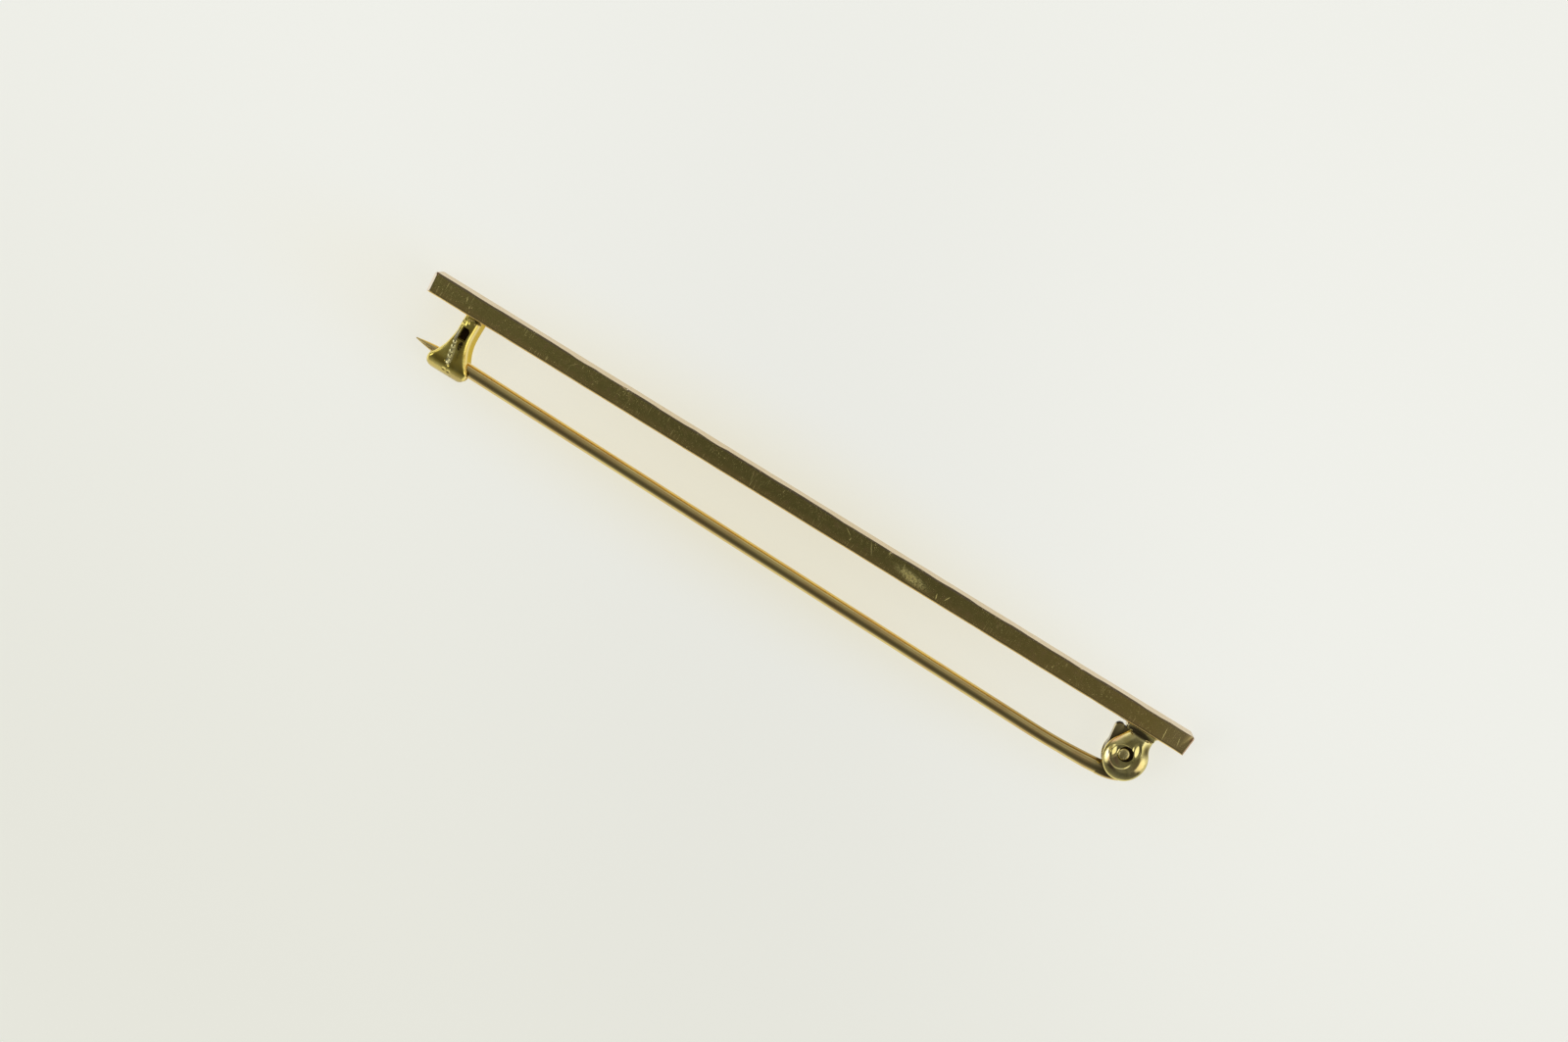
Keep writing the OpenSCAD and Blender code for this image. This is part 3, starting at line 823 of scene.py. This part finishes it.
def catch_gold():
    """The yellowest gold, bright and soft-edged, with a dark pocket and dark patches under it, a painted
    shadow at its foot, and painted highlights and shade on its edges, dents, underside and right side.
    """
    n = Nodes("catch_gold")
    x, _, z = n.xyz
    fine = n.noise(0.09, detail=1.0)
    broad = n.noise(0.7, detail=2.0, seed=5.0)
    to_right = n.ease(n.facing[X], 0.5, 0.9)
    # Painted shade on the faces turned away from the bar, darker to the right
    under = n.times(n.ease(n.facing[Y], -0.5, -0.75), 0.85)
    band = n.spot((-24.64, -2.57, FINDING_W), (1.02, 0.24, 0.3), -77, soft=0.35)
    # Painted highlights over the dents, and over the leaning place on the curl
    ring_highlights = n.most(*[n.spot((cx, cy, FINDING_W), (0.19, 0.19, 0.3), soft=0.3) for cx, cy, _ in PUNCHES],
                   n.spot((-24.58, -3.12, FINDING_W), (0.2, 0.24, 0.3), soft=0.4))
    # Painted shade in the middles of the dents
    hole_shades = n.most(*[n.spot((cx + 0.02, cy, FINDING_W), (0.125, 0.11, 0.3)) for cx, cy, _ in PUNCHES])
    # Painted highlight: a pale strip down the neck's left side, beside the pocket
    pale = n.spot((-24.93, -1.38, FINDING_W), (0.62, 0.13, 0.5), 100)
    # A dark pocket in the neck, with a dark patch and a streak under it
    pocket = n.spot((-24.535, -1.14, FINDING_W - 0.36), (0.275, 0.43, 0.32), soft=0.08, square=True)
    dark_patch = n.times(n.spot((-24.38, -1.90, FINDING_W), (0.46, 0.21, 0.3), 95, soft=0.5),
                    n.ease(n.noise(0.18, detail=2.0, seed=8.0), 0.3, 0.5, 0.6, 1.0))
    streak = n.spot((-24.22, -2.35, FINDING_W), (0.75, 0.16, 0.3), -84, soft=0.8)
    # Painted shadow at the foot, where the neck meets the bar
    foot_shadow = n.spot((-24.2, -0.06, FINDING_W), (0.42, 0.16, 0.5), -14, soft=0.5)
    dark_and_shade = n.most(pocket, dark_patch, n.times(streak, 0.6), n.times(foot_shadow, 0.9))
    colour = n.layers(n.blend(n.ease(broad, 0.3, 0.7), YELLOW, PALE_YELLOW), (
        # Painted shade: the side walls turned to the right darken towards the floor
        (n.times(n.ease(z, 1.9, 0.9), to_right, 0.75), FLANK_SHADE),
        # Painted highlight: the rounded edges, which lean away from the near face, are paler
        (n.times(n.ease(n.facing[Z], 0.93, 0.7), 0.35), EDGE_HIGHLIGHT),
        (under, n.blend(n.ease(x, -25.0, -23.9), UNDER_SHADE_LEFT, UNDER_SHADE_RIGHT)),
        (n.times(band, 0.8), BAND),
        (n.times(ring_highlights, 0.8), RING_HIGHLIGHT),
        (n.times(pale, 0.7), PALE),
        (n.times(hole_shades, 0.7), HOLE_SHADE),
        (dark_and_shade, CATCH_DARK_AND_SHADE),
    ))
    dents = []
    for cx, cy, deep in CURL_DENTS:
        cz = MID_Z + math.sqrt(CURL_R ** 2 - (cy - CURL_Y) ** 2)
        dents.append(n.times(n.spot((cx, cy, cz), (0.17, 0.15, 0.2), soft=1.0), -deep))
    rough = n.plus(n.ease(broad, 0.3, 0.7, 0.12, 0.2), n.times(n.most(dark_and_shade, n.times(band, 0.55)), 0.35))
    height = n.plus(n.times(fine, 0.001), n.times(broad, 0.015), *n.slopes(CATCH_SLOPES, 0.4), *dents)
    # Painted shade on the edge tint of the side walls turned to the right, towards the floor
    side = n.times(n.ease(z, 2.05, 1.2), to_right)
    return n.finish(colour, rough, height, 1.0, n.blend(side, WHITE, FLANK_SHADE_RIM))


GREENISH, PALE_GREENISH, BRACKET_SHADE = (0.76, 0.64, 0.21), (0.90, 0.78, 0.33), (0.05, 0.035, 0.018)
RIM_BROWN, RIM_HIGHLIGHT = (0.60, 0.33, 0.19), (0.90, 0.76, 0.60)
LOWER_RIM_REFLECTION, SIDE_WALL_SHADE = (0.26, 0.16, 0.09), (0.52, 0.44, 0.22)


def bracket_gold():
    """Paler, greener gold with brown patches on the rim, painted shade in the sunk mouth, on the base plate,
    on the neck's right side and on the right side walls, a painted dark reflection low on the ear and a
    painted highlight on its left rim.
    """
    n = Nodes("bracket_gold")
    z = n.xyz[Z]
    fine = n.noise(0.08, detail=1.0)
    broad = n.noise(0.8, detail=2.0, seed=2.0)
    # Brown patches on the ear's rim and round its dish
    rim_brown = n.most(
        n.spot((23.85, -1.3, FINDING_W), (0.95, 0.2, 0.6), 60, soft=0.7),
        n.times(n.spot((26.0, -2.2, FINDING_W), (0.9, 0.55, 0.6), 90, soft=0.8), 0.35),
        n.times(n.spot((24.3, -2.75, FINDING_W), (0.9, 0.2, 0.4), -38, soft=0.8), 0.7),
        n.times(n.spot((24.55, -2.45, FINDING_W), (0.6, 0.22, 0.4), -35, soft=0.8), 0.8),
    )
    # Painted highlight: a pale curve on the ear's left rim
    rim_highlight = n.spot((23.87, -2.41, FINDING_W), (0.44, 0.15, 0.6), -68)
    # Painted reflection: a dark curve low on the ear, next to the pale one
    dark_reflection = n.spot((24.42, -2.99, FINDING_W), (0.58, 0.13, 0.6), -6, soft=0.75)
    (dx, dy), *_ = MOUTH
    # Painted shade in the sunk mouth round the rivet
    mouth = n.spot((HINGE_X + dx, RIVET_Y + dy, 0), (0.53, 0.53, 9), soft=0.08)
    # Painted shade on the base plate between the bar and the ears
    foot_shadow = n.spot((24.9, -0.26, FINDING_W), (1.25, 0.30, 0.8), -4, soft=0.5)
    # Painted shade on the neck's right side, dimming the light there
    neck_side_shade = n.spot((25.95, -0.98, FINDING_W), (0.62, 0.42, 0.6), -68, soft=0.75)
    dark_and_shade = n.most(n.times(mouth, n.ease(z, 2.12, 2.06)), n.times(foot_shadow, 0.93), n.times(neck_side_shade, 0.86))
    # Painted shade on the side walls turned to the right, under the near face's edge
    wall = n.times(n.ease(n.facing[X], 0.4, 0.8), n.ease(z, 2.05, 1.9))
    colour = n.layers(n.blend(n.ease(broad, 0.3, 0.7), GREENISH, PALE_GREENISH), (
        (n.times(rim_brown, 0.75), RIM_BROWN),
        (n.times(rim_highlight, 0.85), RIM_HIGHLIGHT),
        (n.times(dark_reflection, 0.55), LOWER_RIM_REFLECTION),
        (dark_and_shade, BRACKET_SHADE),
        (n.times(wall, 0.8), SIDE_WALL_SHADE),
    ))
    rough = n.plus(n.ease(broad, 0.3, 0.7, 0.14, 0.24), n.times(dark_and_shade, 0.3))
    height = n.plus(n.times(fine, 0.001), n.times(broad, 0.03), *n.slopes(BRACKET_SLOPES, 0.6))
    return n.finish(colour, rough, height, 1.0)


DULL_SOLDER, BRIGHT_SOLDER = (0.58, 0.43, 0.15), (0.96, 0.77, 0.30)


def solder_gold():
    """Paler solder, dull in places."""
    n = Nodes("solder_gold")
    broad = n.noise(0.25, detail=2.0, seed=6.0)
    colour = n.blend(n.ease(broad, 0.35, 0.65), DULL_SOLDER, BRIGHT_SOLDER)
    return n.finish(colour, n.ease(broad, 0.3, 0.7, 0.32, 0.14), n.times(broad, 0.035), 1.0)


FILED, BRIGHT_FILED = (0.74, 0.60, 0.22), (0.86, 0.74, 0.34)


def rivet_gold():
    """Filed gold, with faint lines across the head."""
    n = Nodes("rivet_gold")
    fine = n.noise(0.06, (1, 3, 1), detail=1.0)
    broad = n.noise(0.3, detail=2.0, seed=9.0)
    colour = n.blend(n.ease(broad, 0.3, 0.7), FILED, BRIGHT_FILED)
    height = n.plus(n.times(fine, 0.006), n.times(broad, 0.03))
    return n.finish(colour, n.ease(broad, 0.3, 0.7, 0.24, 0.4), height, 0.5)


WIRE, WIRE_SPOT = (0.85, 0.67, 0.26), (0.74, 0.52, 0.20)
GAP_SHADE, GAP_SHADE_RIM, ROOT_TOP_SHADE = (0.16, 0.13, 0.06), (0.05, 0.045, 0.03), (0.36, 0.31, 0.13)
WIRE_UPPER_SHADE, HINGE_SHADE = (0.38, 0.285, 0.125), (0.10, 0.075, 0.035)


def stem_gold():
    """Drawn wire: smooth along its length, with faint lines and brown spots, and painted shade in the gap by
    the bar, on the eye's flat top, along the wire's upper side and by the ear.
    """
    n = Nodes("stem_gold")
    x, y, z = n.xyz
    lines = n.noise(0.05, (60, 1, 1), detail=1.0)
    spots = n.noise(0.6, (3, 1, 1), detail=3.0, seed=4.0)
    # Painted shade on faces turned to the bar, in the narrow gap beside it
    gap_shade = n.times(n.ease(y, -1.1, -0.6), n.ease(n.facing[Y], 0.1, 0.5))
    # Painted shade on the wire's upper side, turned to the bar, from x 12 on towards the eye
    above = n.times(n.ease(x, 12, 20), n.ease(n.facing[Y], 0.45, 0.75), n.ease(y, -1.5, -2.5))
    shade = n.times(n.spot((HINGE_X + 0.2, RIVET_Y - 0.14, MID_Z), (2.3, 2.3, 9), soft=0.45),
                    n.ease(x, 25.3, 24.9), n.ease(n.facing[Y], -0.85, -0.5))
    colour = n.layers(n.blend(n.ease(spots, 0.35, 0.75), WIRE, WIRE_SPOT), (
        (n.times(gap_shade, 0.8), GAP_SHADE),
        # Painted shade on the flat tops of the eye and its root, beside the ear
        (n.times(n.ease(x, 23.0, 23.5), n.ease(z, 1.5, 1.58), 0.6), ROOT_TOP_SHADE),
        (n.times(above, 0.75), WIRE_UPPER_SHADE),
        (n.times(shade, 0.85), HINGE_SHADE),
    ))
    rough = n.ease(spots, 0.3, 0.7, 0.14, 0.22)
    return n.finish(colour, rough, n.times(lines, 0.004), 0.3, n.blend(gap_shade, WHITE, GAP_SHADE_RIM))


def dress(obj, mat, body, slot, *nodes):
    obj.data.materials.clear()
    obj.data.materials.append(mat)
    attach(obj, body)
    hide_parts(*nodes)


# Floor, light and camera

PAPER, PAPER_CORNER, PAPER_GOLD_LIGHT = (0.830, 0.835, 0.782), (0.747, 0.747, 0.667), (0.79, 0.745, 0.57)


def make_floor():
    """A pale lit sheet, a little darker to the lower left, with a painted pool of golden light from the gold
    beside it.
    """
    floor = primitive("plane", "floor", size=3.0)
    n = Nodes("pale_floor")
    colour = n.blend(n.ease(n.xyz[Y], 20, -50), PAPER, PAPER_CORNER)
    # Painted pool of golden light thrown by the gold onto the floor round the brooch
    gold_light = n.spot((-4, -1.3, 0), (44, 8.5, 5), soft=0.95)
    middle = n.spot((0, -1.3, 0), (62, 34, 5), 122, soft=1.0)
    colour = n.blend(n.times(gold_light, 0.75), colour, PAPER_GOLD_LIGHT)
    n.put(n.bsdf.inputs["Emission Color"], colour)
    n.put(n.bsdf.inputs["Emission Strength"], n.plus(n.times(middle, -0.05), 0.9))
    n.bsdf.inputs["Base Color"].default_value = (0.30, 0.30, 0.29, 1)
    n.bsdf.inputs["Roughness"].default_value = 1.0
    n.bsdf.inputs["Specular IOR Level"].default_value = 0.0
    floor.data.materials.append(n.mat)


# Brightness of the sky across the bar, from the -Y horizon over the zenith to the +Y horizon, by degrees
SKY = ((-90, 0.44), (-78, 0.31), (-65, 0.18), (-45, 0.085), (-27, 0.085), (-8, 0.105), (0, 0.14), (27, 0.27),
       (50, 0.30), (58, 0.38), (65, 0.66), (71, 0.50), (79, 0.32), (90, 0.42))
# Soft lamps: azimuth and angle from the zenith in degrees, radius in degrees, brightness
LAMPS = ((-2, 50, 19, 1.25), (0, 78, 22, 0.65), (0, 30, 28, 0.06), (38, 62, 17, 0.8), (58, 30, 13, 0.22),
         (150, 62, 20, 0.75), (180, 30, 28, 0.05), (210, 50, 21, 1.5))
# Share of a lamp's radius that is fully bright
LAMP_CORE = 0.45


def make_world():
    """A soft studio: dark straight above, where the camera is, with soft lamps round the bar."""
    world = bpy.data.worlds.new("studio")
    bpy.context.scene.world = world
    world.use_nodes = True
    nodes, links = world.node_tree.nodes, world.node_tree.links
    coord = nodes.new("ShaderNodeTexCoord")
    split = nodes.new("ShaderNodeSeparateXYZ")
    links.new(coord.outputs["Generated"], split.inputs[0])
    angle = nodes.new("ShaderNodeMath")
    angle.operation = "ARCTAN2"
    links.new(split.outputs["Y"], angle.inputs[0])
    links.new(split.outputs["Z"], angle.inputs[1])
    share = nodes.new("ShaderNodeMapRange")
    share.inputs["From Min"].default_value = -math.pi / 2
    share.inputs["From Max"].default_value = math.pi / 2
    links.new(angle.outputs[0], share.inputs["Value"])
    ramp = nodes.new("ShaderNodeValToRGB")
    ramp.color_ramp.interpolation = "CARDINAL"
    places = ramp.color_ramp.elements
    places.remove(places[1])
    for k, (degrees, level) in enumerate(SKY):
        here = places[0] if k == 0 else places.new((degrees + 90) / 180)
        here.position = (degrees + 90) / 180
        here.color = (level, level, level, 1)
    links.new(share.outputs[0], ramp.inputs[0])
    total = ramp.outputs[0]
    for azimuth, polar, radius, level in LAMPS:
        a, t = math.radians(azimuth), math.radians(polar)
        dot = nodes.new("ShaderNodeVectorMath")
        dot.operation = "DOT_PRODUCT"
        dot.inputs[1].default_value = (math.cos(a) * math.sin(t), math.sin(a) * math.sin(t), math.cos(t))
        links.new(coord.outputs["Generated"], dot.inputs[0])
        lobe = nodes.new("ShaderNodeMapRange")
        lobe.interpolation_type = "SMOOTHSTEP"
        lobe.inputs["From Min"].default_value = math.cos(math.radians(radius))
        lobe.inputs["From Max"].default_value = math.cos(math.radians(radius * LAMP_CORE))
        lobe.inputs["To Max"].default_value = level
        links.new(dot.outputs["Value"], lobe.inputs["Value"])
        plus = nodes.new("ShaderNodeMath")
        links.new(total, plus.inputs[0])
        links.new(lobe.outputs[0], plus.inputs[1])
        total = plus.outputs[0]
    links.new(total, nodes["Background"].inputs["Color"])


def make_camera():
    """The photograph's view: nearly straight down, turned so that the bar runs down to the right."""
    distance, lean, turn = 200 * MM, math.radians(5.8), math.radians(31.6)
    target = m(-1.2, -0.56, BAR_W)
    back = Vector((0, math.sin(lean), math.cos(lean)))
    across = Vector((0, math.cos(lean), -math.sin(lean)))
    right = Vector((1, 0, 0)) * math.cos(turn) + across * math.sin(turn)
    up = across * math.cos(turn) - Vector((1, 0, 0)) * math.sin(turn)
    data = bpy.data.cameras.new("camera")
    camera = bpy.data.objects.new("camera", data)
    bpy.context.scene.collection.objects.link(camera)
    placed = Matrix((right, up, back)).transposed().to_4x4()
    placed.translation = target + back * distance
    camera.matrix_world = placed
    half_width = PHOTO_W / PHOTO_SCALE / 2 * MM
    data.sensor_width = 36.0
    data.lens = data.sensor_width / 2 * distance / half_width
    data.clip_start, data.clip_end = 0.01, 10
    bpy.context.scene.camera = camera


bpy.context.scene.view_settings.view_transform = "Standard"
make_camera()
make_world()
make_floor()

dress(make_bar(), bar_gold(), "bar", "bar_gold", "bar_body")
dress(make_catch(), catch_gold(), "bar", "bar_gold", "bar_body")
dress(make_bracket(), bracket_gold(), "bar", "bar_gold", "bar_body")
dress(make_solder(), solder_gold(), "bar", "bar_gold", "bar_body")
dress(make_rivet(), rivet_gold(), "bar", "rivet_gold", "hinge_rivet")
dress(make_pin(), stem_gold(), "pin", "stem_gold", "pin_stem")
